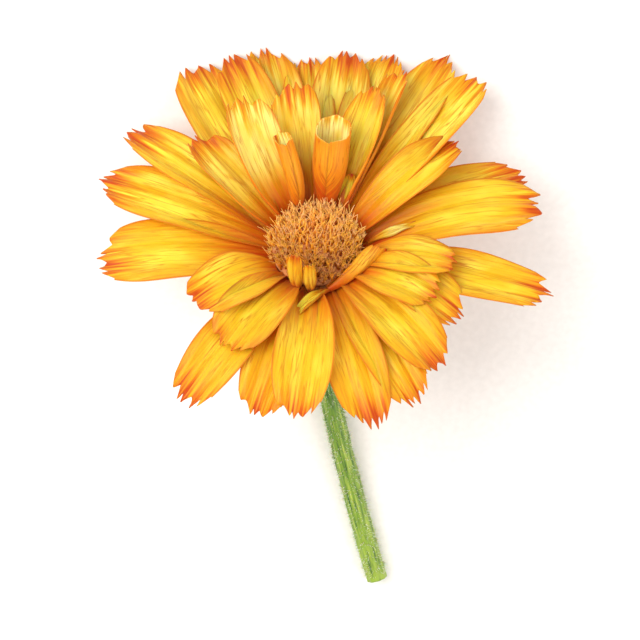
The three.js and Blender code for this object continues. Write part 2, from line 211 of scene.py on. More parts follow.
towards_camera = math.cos(VIEW_TILT) * FACE - math.sin(VIEW_TILT) * TOP
picture_up = math.cos(VIEW_TILT) * TOP + math.sin(VIEW_TILT) * FACE
picture_right = np.cross(picture_up, towards_camera)
distance = FRAME_HEIGHT_MM / 2 / (SENSOR_MM / 2 / LENS_MM)
aim = BLOOM_CENTRE - AIM_BELOW_CENTRE_MM * picture_up + AIM_RIGHT_MM * picture_right


def placed(right, up, back, place_mm):
    """The matrix of a camera or lamp from its three axes, as columns, and its place."""
    matrix = np.eye(4)
    matrix[:3, :3] = np.stack([right, up, back], axis=1)
    matrix[:3, 3] = np.asarray(place_mm) * MM
    return Matrix(matrix.tolist())


camera_data = bpy.data.cameras.new("camera")
camera_data.lens = LENS_MM
camera_data.sensor_width = SENSOR_MM
camera_data.clip_start = 0.01
camera = bpy.data.objects.new("camera", camera_data)
bpy.context.scene.collection.objects.link(camera)
camera.matrix_world = placed(picture_right, picture_up, towards_camera, aim + distance * towards_camera)
bpy.context.scene.camera = camera
print("camera distance in mm:", round(distance, 1))

# %% Floor
# matt paper has no highlight, only the faint mottle of its fibres
PAPER_FIBRE_MM = 1.1        # a clump of fibres
floor_material, add = new_material("pale_paper")
tone = add("ValToRGB", (mottle(add, PAPER_FIBRE_MM),), stops=[(0.3, "#EFF0F2"), (0.7, "#F5F6F8")])
add("OutputMaterial", (add("BsdfPrincipled", {"Base Color": tone, "Roughness": 0.85}),))

FLOOR_HALF_MM = 1500.0
floor_points = FLOOR_HALF_MM * np.array([[-1, -1, 0], [1, -1, 0], [1, 1, 0], [-1, 1, 0]], float)
floor = new_mesh("floor", floor_points, [np.array([[0, 1, 2, 3]])], {}, floor_material, smooth=False)


# %% Lamps and sky
def soft_lamp(name, place_mm, size_mm, power, tint):
    """A square area lamp at place_mm that faces the bloom."""
    lamp = bpy.data.lights.new(name, "AREA")
    lamp.size = size_mm * MM
    lamp.energy = power
    lamp.color = colour(tint)[:3]
    holder = bpy.data.objects.new(name, lamp)
    bpy.context.scene.collection.objects.link(holder)
    back = unit(np.array(place_mm, float) - BLOOM_CENTRE)
    side = unit(np.cross([0.0, 1.0, 0.01], back))
    holder.matrix_world = placed(side, np.cross(back, side), back, place_mm)
    print(f"{name}: {power} W, {size_mm:.0f} mm wide")


soft_lamp("window_light", (-240.0, 200.0, 420.0), 380.0, 2.5, "#FFF9F0")
soft_lamp("fill_light", (330.0, -120.0, 330.0), 420.0, 1.0, "#FEF9F3")
SKY_STRENGTH = 0.78         # strong enough for pale shadows
world = bpy.data.worlds.new("studio")
bpy.context.scene.world = world
world.use_nodes = True
sky = world.node_tree.nodes["Background"]
sky.inputs["Color"].default_value = colour("#FDF8F0")
sky.inputs["Strength"].default_value = SKY_STRENGTH
# the standard view shows a colour as the hex value says
bpy.context.scene.view_settings.view_transform = "Standard"

# %% [markdown]
# ## The petals
#
# A marigold's petal is a ray floret: a strap with a narrow claw at the root, margins that turn up,
# soft lengthwise folds and a few sharp teeth at its tip. Cutting each one by hand would take a day,
# so a petal is one formula instead. Its midline is a quadratic curve from the rim of the head to
# the tip, and its cross-section turns up towards both margins. A table gives each petal its numbers.

# %% The petals' table
# Each row is a petal: azimuth, reach and rise of the tip, width, arch, fold at the root and at the
# tip, roll, sway, share of the length that stays folded, and how far round the root lies from the
# tip. Lengths are in mm and angles in degrees. Arch and sway are shares of the length.
AZIMUTH = 0
TIP_FOLD = 6
OUTER = np.array([
    [186, 34.5, 3, 12.4, 0.1, 65, 26, 0, 0.02, 0, 0],
    [163, 36, 5, 11, 0.08, 80, 34, 6, 0.03, 0, 0],
    [147, 36, 6.5, 9, 0.1, 80, 40, 8, 0.03, 0, 0],
    [123, 37, 9, 12.2, 0.08, 70, 32, 10, 0.05, 0, 0],
    [114, 34.5, 10.5, 9.4, 0.06, 80, 36, -6, 0, 0, 0],
    [104, 35.4, 10, 9.4, 0.05, 80, 36, 4, 0, 0, 0],
    [93, 33, 9, 9, 0.06, 80, 32, 0, 0, 0, 0],
    [81, 33, 11, 10.2, 0.02, 70, 28, 0, 0, 0, 0],
    [70, 35.5, 9.5, 9.2, 0.06, 80, 28, -5, 0, 0, 0],
    [56, 38.5, 10, 9.6, 0.08, 80, 42, -8, -0.02, 0, 0],
    [45, 38, 11, 10.6, 0.08, 110, 80, -8, -0.03, 0.2, 0],
    [21, 36, 3, 10.4, 0.08, 80, 28, -4, 0, 0, 0],
    [7, 36, 6, 11.6, 0.1, 70, 24, -6, 0.02, 0, 0],
    [347, 37.8, 0, 9.4, 0.08, 80, 32, 0, -0.02, 0, 0],
    [300, 32, -2, 9.4, 0.14, 75, 34, 0, -0.03, 0, 0],
    [286, 32.8, -2.5, 10, 0.15, 75, 32, 5, -0.02, 0, 0],
    [264, 32, 0, 10.6, 0.16, 125, 34, 0, 0.02, 0.1, 0],
    [252, 31, -3, 9.6, 0.15, 70, 28, 0, 0.02, 0, 0],
    [232, 34, -3, 9.6, 0.15, 75, 36, 0, 0.03, 0, 0],
])
MIDDLE = np.array([
    [62, 30, 12.5, 7.6, 0.04, 140, 100, -25, 0, 0.4, 0],
    [33, 27, 9.5, 10, 0.1, 95, 64, -12, -0.03, 0, 0],
    [343, 23, 6, 7.6, 0.12, 70, 28, 0, 0, 0, 0],
    [327, 22.5, 5, 9, 0.14, 70, 26, 10, 0, 0, 0],
    [329, 26.5, 1.5, 9.4, 0.16, 70, 28, 0, 0, 0, 0],
    [311, 30, 0.5, 10, 0.15, 70, 26, 0, -0.02, 0, 0],
    [235, 25, 3, 11, 0.16, 75, 28, 0, 0.02, 0, 0],
    [216, 23.5, 5, 10.6, 0.14, 75, 28, 0, 0, 0, 0],
    [100, 22.5, 15.5, 9.8, -0.02, 170, 32, 0, 0, 0.5, 0],
    [121, 23.5, 14.5, 11, 0.1, 130, 70, 12, 0.08, 0.2, 0],
    [143, 24.5, 11, 9.4, 0.06, 110, 62, 14, 0.04, 0.2, 0],
    [66, 24.5, 14, 9, 0.02, 140, 75, -14, 0, 0.3, 0],
])
INNER = np.array([
    [79, 17.2, 13.8, 17, -0.05, 180, 180, 0, 0, 0.7, 0],
    [112, 15.8, 12.2, 8.4, 0.15, 180, 180, 0, 0, 0.7, 0],
    [62, 12.2, 6.6, 3.2, -0.05, 30, 20, 0, 0, 0, 0],
    [347, 11.2, 4.8, 6.8, -0.08, 150, 125, -30, 0, 0.7, 64],
    [247, 9, 11, 3.4, -0.1, 80, 60, 0, 0, 0, -3],
    [263, 9, 9.4, 2.8, -0.1, 80, 60, 0, 0, 0, -1],
    [257, 14.6, 2.6, 2.8, 0.1, 110, 80, 20, 0, 0.3, -28],
    [9, 16.4, 4.2, 1.8, 0.05, 60, 50, -10, 0, 0, 0],
])
# for each row of INNER: how deep the orange of the reverse is, and how pale the face is. The first
# row's full paleness is partly painted light on the shaded inside of its tube, and the last row, a
# small narrow petal, is pale as a painted highlight, the light that a curled margin catches
INNER_REVERSE = np.array([1.0, 1.0, 0.1, 0.65, 0.35, 0.35, 0.15, 0.1])
INNER_PALE = np.array([1.0, 0.9, 0.5, 0.5, 0.3, 0.3, 0.45, 0.85])
# name: table, radius and height of the roots, crease of the section, number of the first petal
WHORLS = {
    "outer_petals": (OUTER, 7.2, -0.3, 2.0, 1),
    "middle_petals": (MIDDLE, 7.1, 0.5, 1.8, 1 + len(OUTER)),
    "inner_petals": (INNER, 8.2, 0.9, 1.0, 1 + len(OUTER) + len(MIDDLE)),
}
print("petals:", sum(len(rows) for rows, *_ in WHORLS.values()))

# %% Where a petal ends
FEWEST_TEETH = 4
MORE_TEETH = 2.6            # chance adds none, one or two
TOOTH_CROWDING = 0.18       # how far chance shifts a notch, as a share of a tooth
TOOTH_DEPTH = 0.062         # this and the rest are shares of the petal's length
TOOTH_UNEVEN = 0.035
TIP_SKEW = 0.05
TIP_ROUNDING = 0.075
MOUTH_SLANT = 0.14


def rolled_share(tip_fold):
    """How far a petal is rolled up: (fold / 180)^2, so a closed tube has 1."""
    return (tip_fold / 180) ** 2


def tip_outline(index, rolled, t):
    """Where a petal ends, as a share of its length: 1, less a sharp notch between two of its four
    to six teeth, less a rounding that grows with t squared. On a rolled petal the rounding gives
    way to (1 - cos(pi t)) / 2, which slants the mouth of a tube like the end of a quill. Each tooth
    has a length of its own, which fades to nothing in the notches on both sides of it."""
    teeth = FEWEST_TEETH + np.floor(MORE_TEETH * draw(index + 21))
    place = (t + 1) / 2 * teeth + TOOTH_CROWDING * np.sin(2 * np.pi * (t + draw(index + 31)))
    notch = np.abs(2 * (place % 1) - 1)
    own = draw(index * 7 + np.floor(place) * 3 + 1) - 0.5
    depth = TOOTH_DEPTH * (0.7 + 0.6 * draw(index + 7)) * (1 - 0.7 * rolled)
    skew = (draw(index) - 0.5) * TIP_SKEW
    back = TIP_ROUNDING * (1 - rolled) * t ** 2 + MOUTH_SLANT * rolled * (1 - np.cos(np.pi * t)) / 2
    return 1 - depth * notch - back + skew * t + TOOTH_UNEVEN * own * (1 - notch)


print("the first petal ends at", tip_outline(1, 0.0, np.array([-1.0, 0.0, 1.0])).round(2))

# %% The petal's formula
CLAW_SHARE = 0.34           # widths as shares of the petal's own
TIP_SHARE = 0.36
TIP_SHARE_SPREAD = 0.26
WIDEST_AT = 0.60            # share of the length
NARROWING = 2.2
UNFOLDING = 0.7
PLEAT_HEIGHT = 0.20         # heights in mm
PLEATS_ROLLED_OUT = 0.8     # share of the pleats that a tube loses
VEIN_HEIGHT = 0.04
VEINS_PER_PETAL = 9
EDGE_WAVE = 0.45
WAVES_PER_PETAL = 1.7
FLOOR_SOFTNESS = 0.6
FLOOR_CLEARANCE = 0.31


def from_middle(slope, step):
    """The running sum of a slope across the petal, counted from its middle column."""
    total = np.cumsum((slope[..., 1:] + slope[..., :-1]) / 2 * step, axis=-1)
    total = np.concatenate([np.zeros_like(total[..., :1]), total], axis=-1)
    return total - total[..., total.shape[-1] // 2, None]


def petal_grid(rows, root_radius, root_height, crease, first_index, steps_along, steps_across):
    """Middle surface of every petal in a whorl, as an array (petal, along, across, xyz).

    For u from 0 at the root to 1 at the tip, the midline is (1-u)^2 root + 2u(1-u) bend + u^2 tip.
    For t from -1 to 1 across, the section climbs at an angle of fold * |t|^crease, so it is flat in
    the middle and turns up at the margins, where it shows its reverse once the fold is over a right
    angle. The width grows out of the claw as a quarter of a sine wave and narrows again towards the
    tip, but a rolled petal keeps it. Pleats, veins and a wave that grows towards the margin are
    added on top. A soft maximum, (h + sqrt(h^2 + softness^2)) / 2, keeps it all off the floor."""
    azimuth, reach, rise, width, arch, root_fold, tip_fold, roll, sway, hold, turn = (
        column[:, None, None] for column in rows.T)
    index = (first_index + np.arange(len(rows)))[:, None, None]
    s = np.linspace(0, 1, steps_along + 1)[None, :, None]
    t = np.linspace(-1, 1, steps_across + 1)[None, None, :]
    root = spoke(np.radians(azimuth - turn), root_radius) + UP * root_height
    tip = spoke(np.radians(azimuth), reach) + UP * rise[..., None]
    side = spoke(np.radians(azimuth - turn / 2 + 90))
    chord = tip - root
    length = np.linalg.norm(chord, axis=-1, keepdims=True)
    lift = unit(np.cross(chord, side))
    bend = (root + tip) / 2 + 2 * length * (arch[..., None] * lift + sway[..., None] * side)

    rolled = rolled_share(tip_fold)
    u = s * tip_outline(index, rolled, t)
    v = u[..., None]
    middle = (1 - v) ** 2 * root + 2 * v * (1 - v) * bend + v ** 2 * tip
    along = unit(2 * (1 - v) * (bend - root) + 2 * v * (tip - bend))
    flat = unit(side - (along * side).sum(-1, keepdims=True) * along)
    above = np.cross(along, flat)

    grown = CLAW_SHARE + (1 - CLAW_SHARE) * np.sin(np.pi / 2 * np.minimum(u / WIDEST_AT, 1))
    past = np.maximum(0, (u - WIDEST_AT) / (1 - WIDEST_AT))
    tip_share = TIP_SHARE + TIP_SHARE_SPREAD * draw(index + 17)
    tip_share = tip_share + (1 - tip_share) * rolled
    half = width / 2 * grown * (1 - (1 - tip_share) * past ** NARROWING)
    opened = (np.maximum(0, u - hold) / (1 - hold)) ** UNFOLDING
    fold = np.radians(root_fold + (tip_fold - root_fold) * opened)
    climb = fold * np.sign(t) * np.abs(t) ** crease
    x = half * from_middle(np.cos(climb), 2 / steps_across)
    z = half * from_middle(np.sin(climb), 2 / steps_across)
    pleat = PLEAT_HEIGHT * np.cos(3 * np.pi * t) * (1 - PLEATS_ROLLED_OUT * rolled)
    veins = VEIN_HEIGHT * np.cos(np.pi * VEINS_PER_PETAL * t)
    wave = np.sin(2 * np.pi * (WAVES_PER_PETAL * u + draw(index + 3)))
    wave = EDGE_WAVE * wave * t * np.abs(t) * u
    z = z + (pleat + veins) * np.minimum(1, 3 * u) + wave * (1 - rolled)
    twist = np.radians(roll) * u
    point = middle + flat * (x * np.cos(twist) - z * np.sin(twist))[..., None]
    point = in_bloom(point + above * (x * np.sin(twist) + z * np.cos(twist))[..., None])
    height = point[..., 2] - FLOOR_CLEARANCE
    point[..., 2] = FLOOR_CLEARANCE + (height + np.hypot(height, FLOOR_SOFTNESS)) / 2
    return point, u, t + 0 * u, half * t


# %% A blade's thickness
def way_out(middle):
    """Unit normals of surfaces (blade, along, across, xyz): the cross product of their slopes."""
    return unit(np.cross(np.gradient(middle, axis=1), np.gradient(middle, axis=2)))


def thin_blades(middle, half_thickness):
    """Closed blades from middle surfaces (blade, along, across, xyz): each face lies half the
    thickness from the middle along the surface's normal, and a rim joins the two faces.
    Returns points, faces, and a 0 to 1 number that is 1 on the reverse."""
    shift = way_out(middle) * half_thickness[..., None]
    points = np.stack([middle + shift, middle - shift])
    sides, blades, rows, columns = points.shape[:4]
    ids = np.arange(sides * blades * rows * columns).reshape(sides, blades, rows, columns)
    front, back = ids

    def quads(*corners):
        return np.stack([corner.ravel() for corner in corners], 1)

    faces = [
        quads(front[:, :-1, :-1], front[:, 1:, :-1], front[:, 1:, 1:], front[:, :-1, 1:]),
        quads(back[:, :-1, :-1], back[:, :-1, 1:], back[:, 1:, 1:], back[:, 1:, :-1]),
    ]
    rim = np.concatenate([
        ids[:, :, :-1, 0], ids[:, :, -1, :-1], ids[:, :, :0:-1, -1], ids[:, :, 0, :0:-1]], axis=2)
    after = np.roll(rim, -1, axis=2)
    faces.append(quads(after[0], rim[0], rim[1], after[1]))
    reverse = np.broadcast_to(np.array([0.0, 1.0])[:, None, None, None], ids.shape)
    return points.reshape(-1, 3), faces, reverse


def both_faces(values):
    """The same numbers on the front and on the reverse of thin blades."""
    return {key: np.stack([numbers, numbers]) for key, numbers in values.items()}


# %% [markdown]
# ## The petals' material
#
# A petal is thin, moist tissue with a satin skin. Light passes into it and scatters, so the shadows
# stay warm. Its colour runs from deep orange at the claw through bright yellow to a red-orange tip,
# and it changes in streaks, because the pigment follows the veins. The deep orange at the claw is
# partly painted shade, for the claws lie deep by the disc. Some lemon streaks are painted highlights,
# the top of the face is painted paler, and a thin deep orange line on every edge is painted shade
# between the petals. The margins and the whole reverse are orange. A painted picture would make all
# petals alike. Here the streaks are noise, stretched along the petal and read from each point's own
# numbers, so they follow every fold and differ from petal to petal.

# %% Petal material
VEIN_SPACING_MM = 0.55      # real veins are about this far apart
SATIN_ROUGHNESS = 0.45
FINE_SHIFT = 0.32           # how far each kind of streak moves the colours, as shares of the length
BROAD_SHIFT = 0.28
PETAL_SHIFT = 0.08
HATCH_SHIFT = 0.36


def petal_material():
    """Petal tissue: satin gives soft, broad highlights, and scattering inside it warms the shade."""
    material, add = new_material("marigold_petal_tissue")
    along, across, across_mm, along_mm, seed, reverse, pale = (
        add("Attribute", out="Fac", attribute_name=key)
        for key in ("along", "across", "across_mm", "along_mm", "seed", "reverse", "pale"))

    def streaks(width_mm, stretch, offset):
        """Streaks that differ from petal to petal, and another set for each offset."""
        layer = add("Math", (seed, 37.0, offset), operation="MULTIPLY_ADD")
        return streaks_along(add, across_mm, along_mm, layer, width_mm, stretch)

    fine = streaks(VEIN_SPACING_MM, 20.0, 0.0)
    broad = streaks(VEIN_SPACING_MM * 3.0, 8.0, 11.0)
    soft = streaks(VEIN_SPACING_MM * 6.0, 2.4, 23.0)

    # each streak is shifted along the petal, so that the tip's colour runs down the veins
    shifted = add("Math", (fine, FINE_SHIFT, -FINE_SHIFT / 2), operation="MULTIPLY_ADD")
    shifted = add("Math", (broad, BROAD_SHIFT, shifted), operation="MULTIPLY_ADD")
    shifted = add("Math", (seed, PETAL_SHIFT, shifted), operation="MULTIPLY_ADD")
    levelled = add("Math", (along, (BROAD_SHIFT + PETAL_SHIFT) / 2), operation="SUBTRACT")
    shifted = add("Math", (shifted, levelled), operation="ADD")
    # close to the tip, still finer lines part the two colours
    hatch = add("Math", (streaks(VEIN_SPACING_MM * 0.6, 30.0, 41.0), 0.5), operation="SUBTRACT")
    near_tip = add("MapRange", (along, 0.6, 0.9, 0.0, HATCH_SHIFT), **SMOOTH)
    shifted = add("Math", (hatch, near_tip, shifted), operation="MULTIPLY_ADD")
    # the ramp starts with the deep orange of the claw, partly the petal's own colour and partly painted
    # shade where the claws lie deep by the disc
    front = add("ValToRGB", (shifted,), stops=[
        (0.00, "#B84606"), (0.97, "#B04407"), (0.12, "#CA680A"), (0.25, "#D68E10"), (0.38, "#DDAE1A"),
        (0.56, "#DEBC22"), (0.79, "#DCB01C"), (0.88, "#D28C12"), (0.925, "#C6680C")])

    # painted highlights: lighter, lemon-coloured fields between the folds, where the soft streaks are
    # high; a pale petal has more of them
    light = add("Math", (soft, 3.4, -1.7), operation="MULTIPLY_ADD")
    light = add("Math", (light, pale), operation="ADD", use_clamp=True)
    # painted shade: the lemon fields begin only past a quarter of the length, so the claws stay orange
    middle = add("MapRange", (along, 0.26, 0.60, 0.0, 1.0), **SMOOTH)
    not_tip = add("MapRange", (shifted, 0.86, 0.70, 0.0, 1.0), **SMOOTH)
    blade = add("Math", (middle, not_tip), operation="MULTIPLY")
    light = add("Math", (light, blade), operation="MULTIPLY")
    # full paleness is a near-cream lemon, which also paints light into the shaded inside of a tube
    lemon = add("ValToRGB", (pale,), stops=[(0.6, "#E9D749"), (1.0, "#FAEE98")])
    front = add("Mix", {MIX_BY: light, UNDER: front, OVER: lemon}, **COLOURS)

    # petals that aren't pale are golden instead
    golden = add("MapRange", (pale, 0.25, -0.25, 0.0, 0.9))
    front = add("Mix", {MIX_BY: golden, UNDER: front, OVER: colour("#F9E8C6")}, **COLOURS,
                blend_type="MULTIPLY")

    # orange margins, broken up by the broad streaks
    margin = add("Math", (across,), operation="ABSOLUTE")
    edge = add("Math", (margin, 3.2), operation="POWER")
    broken = add("Math", (broad, 2.6, -0.62), operation="MULTIPLY_ADD")
    edge = add("Math", (edge, broken), operation="MULTIPLY", use_clamp=True)
    front = add("Mix", {MIX_BY: edge, UNDER: front, OVER: colour("#CE890E")}, **COLOURS)
    # painted shade: a thin deep orange line on the very edge stands for the shadow where one petal
    # lies on the next, and parts each petal from the next
    edge_shade_line = add("MapRange", (margin, 0.90, 0.99, 0.0, 0.8), **SMOOTH)
    front = add("Mix", {MIX_BY: edge_shade_line, UNDER: front, OVER: colour("#BE600A")}, **COLOURS)

    # a vein shows where the fine noise passes through its middle value
    vein = add("Math", (add("Math", (fine, 0.5), operation="SUBTRACT"),), operation="ABSOLUTE")
    vein = add("Math", (vein, -22.0, 1.0), operation="MULTIPLY_ADD", use_clamp=True)
    vein_strength = add("Math", (soft, 1.9, -0.3), operation="MULTIPLY_ADD")
    vein = add("Math", (vein, vein_strength), operation="MULTIPLY", use_clamp=True)
    front = add("Mix", {MIX_BY: vein, UNDER: front, OVER: colour("#BA760B")}, **COLOURS)

    back = add("ValToRGB", (shifted,), stops=[
        (0.00, "#B43E08"), (0.95, "#BE4C0A"), (0.12, "#C8580A"), (0.30, "#DC8012"), (0.55, "#E4921C"),
        (0.80, "#DE8212")])
    back = add("Mix", {MIX_BY: vein, UNDER: back, OVER: colour("#A9500B")}, **COLOURS)
    body = add("Mix", {MIX_BY: reverse, UNDER: front, OVER: back}, **COLOURS)

    relief = add("Bump", {"Strength": 0.45, "Distance": 0.00012, "Height": fine})
    add("OutputMaterial", (add("BsdfPrincipled", {
        "Base Color": body, "Roughness": SATIN_ROUGHNESS, "IOR": 1.38, "Specular IOR Level": 0.3,
        "Subsurface Weight": 0.34, "Subsurface Radius": (1.0, 0.36, 0.06), "Subsurface Scale": 0.0015,
        "Sheen Weight": 0.03, "Sheen Roughness": 0.5, "Normal": relief}),))
    return material


petal_tissue = petal_material()
print("nodes of the petals' material:", len(petal_tissue.node_tree.nodes))

# %% Grow the three whorls
STEPS_ALONG = 46
STEPS_ACROSS = 42
PETAL_HALF_THICKNESS = 0.15
PALE_MEAN = 0.39            # how pale a petal is: golden at 0 and less, lemon-coloured at 1
# painted light: how much paler the top of the face is made
PAINTED_LIGHT_AT_TOP = 0.36
PALE_SPREAD = 0.3
TUBE_TIP_CUT = 0.14         # a tube's mouth stops short of the red tip
petal_pieces = []
for name, (rows, *roots, first_index) in WHORLS.items():
    middle, u, t, flat_mm = petal_grid(rows, *roots, first_index, STEPS_ALONG, STEPS_ACROSS)
    # a petal thins to three tenths at its margins, and to about half at its tip
    half_thickness = PETAL_HALF_THICKNESS * (0.3 + 0.7 * (1 - np.abs(t) ** 6)) * (1 - 0.45 * u ** 4)
    points, faces, reverse = thin_blades(middle, half_thickness)
    petal = first_index + np.arange(len(rows))
    seed = draw(petal + 50)[:, None, None] + 0 * u
    # painted light: the petals at the top of the face are made paler, lemon-coloured, as if lit more,
    # and those at the bottom golden; the spread from petal to petal is their own colour
    highness = np.sin(np.radians(rows[:, AZIMUTH]))
    pale = PALE_MEAN + PAINTED_LIGHT_AT_TOP * highness + PALE_SPREAD * (draw(petal + 60) - 0.5)
    if name == "inner_petals":
        pale = INNER_PALE
        reverse = reverse * INNER_REVERSE[:, None, None]
    length = np.linalg.norm(np.diff(middle[:, :, STEPS_ACROSS // 2], axis=1), axis=-1).sum(1)
    rolled = rolled_share(rows[:, TIP_FOLD, None, None])
    values = both_faces({
        "along": u * (1 - TUBE_TIP_CUT * rolled), "across": t, "across_mm": flat_mm,
        "along_mm": u * length[:, None, None], "seed": seed, "pale": pale[:, None, None] + 0 * u})
    piece = new_mesh(name, points, faces, {**values, "reverse": reverse}, petal_tissue)
    petal_pieces.append(piece)

# %% [markdown]
# ## The receptacle
#
# The petals and the disc grow from a small plate of soft tissue. It hardly shows, but without it
# light would fall through between the claws. It is round, so a profile turned about the bloom's
# axis is enough for it, and later for the dome of the disc and the green cup.


# %% Turned surfaces
def closed_rings(rings, first, last):
    """Joins an array of rings (ring, side, xyz) into walls, and closes both ends with a point."""
    count, sides = rings.shape[:2]
    ids = np.arange(count * sides).reshape(count, sides)
    after = np.roll(ids, -1, axis=1)
    walls = np.stack([ids[:-1], after[:-1], after[1:], ids[1:]], -1).reshape(-1, 4)
    ends = np.full(sides, ids.size)
    low_cap = np.stack([ends, after[0], ids[0]], 1)
    high_cap = np.stack([ends + 1, ids[-1], after[-1]], 1)
    points = np.concatenate([rings.reshape(-1, 3), first[None], last[None]])
    return points, [walls, np.concatenate([low_cap, high_cap])]


def turned_surface(profile, sides):
    """A closed surface of revolution: each profile point (radius, height) becomes a ring, and the
    first and last rings are closed by a point on the axis."""
    profile = np.asarray(profile, float)
    angle = 2 * np.pi * np.arange(sides) / sides
    rings = profile[:, None, 0:1] * spoke(angle) + profile[:, None, 1:2] * UP
    return closed_rings(rings, UP * profile[0, 1], UP * profile[-1, 1])


# %% Receptacle
# pith-like tissue: matt, in two tones of amber
RECEPTACLE_PROFILE = [[8.2, -1.4], [8.8, -1.0], [8.3, -0.7], [7.3, -0.3], [6.9, 0.4]]
CELLS_MM = 2 / 3            # a patch of a few cells
receptacle_tissue, add = new_material("receptacle_tissue")
tone = add("ValToRGB", (mottle(add, CELLS_MM),), stops=[(0.3, "#B0601A"), (0.7, "#D9902E")])
add("OutputMaterial", (add("BsdfPrincipled", {"Base Color": tone, "Roughness": 0.6}),))
points, faces = turned_surface(RECEPTACLE_PROFILE, 96)
receptacle = new_mesh("receptacle", in_bloom(points), faces, {}, receptacle_tissue)

# %% [markdown]
# ## The disc
#
# The middle of the bloom is a cushion of some four hundred tube florets, set on a sunflower spiral:
# each one is turned by the golden angle of 137.5 degrees from the one before. Those at the rim are
# open, with five pointed lobes, and those in the middle are still buds. Fine forked styles stand
# out of them. Copies of one floret would all look alike, so one profile makes a floret instead, and
# arrays give each its own place, lean, height and openness.

# %% Many small stalks at once
FULL_TURN = 6.28            # near enough where the turn is left to chance
DISC_RADIUS = 7.05
DISC_BASE = 1.0
DISC_DOME = 2.5
GOLDEN_ANGLE = math.radians(137.508)
LOBE_SPREAD = 0.35          # how far a full lobe swings outward, as a share of the radius
LOBE_RISE = 0.28            # and upward, in mm


def dome_height(radius):
    """Height of the dome that the florets stand on: base + dome * (1 - (radius / rim)^2)."""
    return DISC_BASE + DISC_DOME * (1 - (radius / DISC_RADIUS) ** 2)


def many_stalks(foot, axis, turn, radius_at, height_at, sides, lobes=0.0, sag=0.0):
    """Closed tubes, one per row of foot. Ring r of tube k has radius radius_at[k, r] and its centre
    is foot + height * axis + sag * (height / top)^2. With lobes, radius and height swing five times
    in a turn. Returns points, faces, how far up each point is and which tube it belongs to."""
    helper = np.where(np.abs(axis[:, 2:3]) < 0.9, [[0.0, 0.0, 1.0]], [[1.0, 0.0, 0.0]])
    first = unit(np.cross(helper, axis))
    second = np.cross(axis, first)
    count, rings = radius_at.shape
    angle = turn[:, None] + 2 * np.pi * np.arange(sides) / sides
    fifths = np.cos(5 * (angle - turn[:, None]))[:, None]
    swing = (np.asarray(lobes) * np.ones((count, rings)))[..., None] * fifths
    radius = radius_at[..., None] * (1 + LOBE_SPREAD * swing)
    share = height_at / height_at[:, -1:]
    droop = (sag * np.ones((count, 1)))[:, None] * (np.maximum(share, 0) ** 2)[..., None]
    centre = foot[:, None] + axis[:, None] * height_at[..., None] + droop
    points = (centre[:, :, None] + axis[:, None, None] * (LOBE_RISE * swing)[..., None]
              + first[:, None, None] * (radius * np.cos(angle)[:, None])[..., None]
              + second[:, None, None] * (radius * np.sin(angle)[:, None])[..., None])
    ids = np.arange(count * rings * sides).reshape(count, rings, sides)
    after = np.roll(ids, -1, axis=2)
    walls = np.stack([ids[:, :-1], after[:, :-1], after[:, 1:], ids[:, 1:]], -1).reshape(-1, 4)
    low, high = (ids.size + np.arange(count * 2).reshape(count, 2, 1) + 0 * ids[:, :1]).transpose(1, 0, 2)
    caps = [np.stack([low, after[:, 0], ids[:, 0]], -1), np.stack([high, ids[:, -1], after[:, -1]], -1)]
    points = np.concatenate([points.reshape(-1, 3), centre[:, [0, -1]].reshape(-1, 3)])
    rise = np.concatenate([np.repeat(np.maximum(share, 0).ravel(), sides), np.tile([0.0, 1.0], count)])
    owner = np.concatenate([np.repeat(np.arange(count), rings * sides), np.repeat(np.arange(count), 2)])
    return points, [walls, np.concatenate(caps).reshape(-1, 3)], rise, owner


def leaning(lean, swing):
    """Directions that lean away from the bloom's axis by lean, towards the angle swing."""
    return spoke(swing) * np.sin(lean)[:, None] + UP * np.cos(lean)[:, None]


# %% Disc florets
FLORETS = 440
LOBES_OPEN_FROM = 0.42      # share of the disc's radius where the buds end
OPENING_RATE = 5            # a floret is fully open a fifth of the radius further out
OPENNESS_SPREAD = 1.2
RIM_LEAN = math.radians(13)
LEAN_SPREAD = 0.36          # this and the next two are in radians
SWING_SPREAD = 1.6
SPIRAL_SPREAD = 0.30        # at the rim, and more towards the middle
PLACE_SPREAD = 0.35         # this and the heights are in mm
FLORET_HEIGHT = 1.8
RIM_TALLER = 0.7
HEIGHT_SPREAD = 1.3
# share of the floret's height and radius in mm, from the foot over the rim into the throat
OPEN_FLORET = np.array([[-0.3, 0.14], [0.62, 0.17], [1.00, 0.29], [0.84, 0.08]])
BUD_FLORET = np.array([[-0.3, 0.17], [0.55, 0.21], [0.86, 0.18], [1.00, 0.05]])

k = np.arange(FLORETS)
share = np.sqrt((k + 0.5) / FLORETS)
angle = GOLDEN_ANGLE * k + SPIRAL_SPREAD * (draw(k + 900) - 0.5) / np.maximum(share, 0.15)
radius = DISC_RADIUS * share + PLACE_SPREAD * (draw(k + 830) - 0.5)
foot = spoke(angle, radius) + UP * dome_height(radius)[:, None]
lean = RIM_LEAN * share ** 3 + LEAN_SPREAD * (draw(k + 300) - 0.5)
axis = leaning(lean, angle + SWING_SPREAD * (draw(k + 700) - 0.5))
openness = (share - LOBES_OPEN_FROM) * OPENING_RATE + OPENNESS_SPREAD * (draw(k + 90) - 0.5)
openness = np.clip(openness, 0, 1)
height = FLORET_HEIGHT + RIM_TALLER * share ** 2 + HEIGHT_SPREAD * (draw(k + 40) - 0.5)
form = BUD_FLORET + openness[:, None, None] * (OPEN_FLORET - BUD_FLORET)
lobes = openness[:, None] * np.array([0, 0.1, 1.0, 0.4])
print("florets with open lobes:", int((openness > 0.5).sum()), "of", FLORETS)
points, faces, rise, owner = many_stalks(
    foot, axis, FULL_TURN * draw(k + 5), form[:, :, 1], form[:, :, 0] * height[:, None],
    sides=10, lobes=lobes)

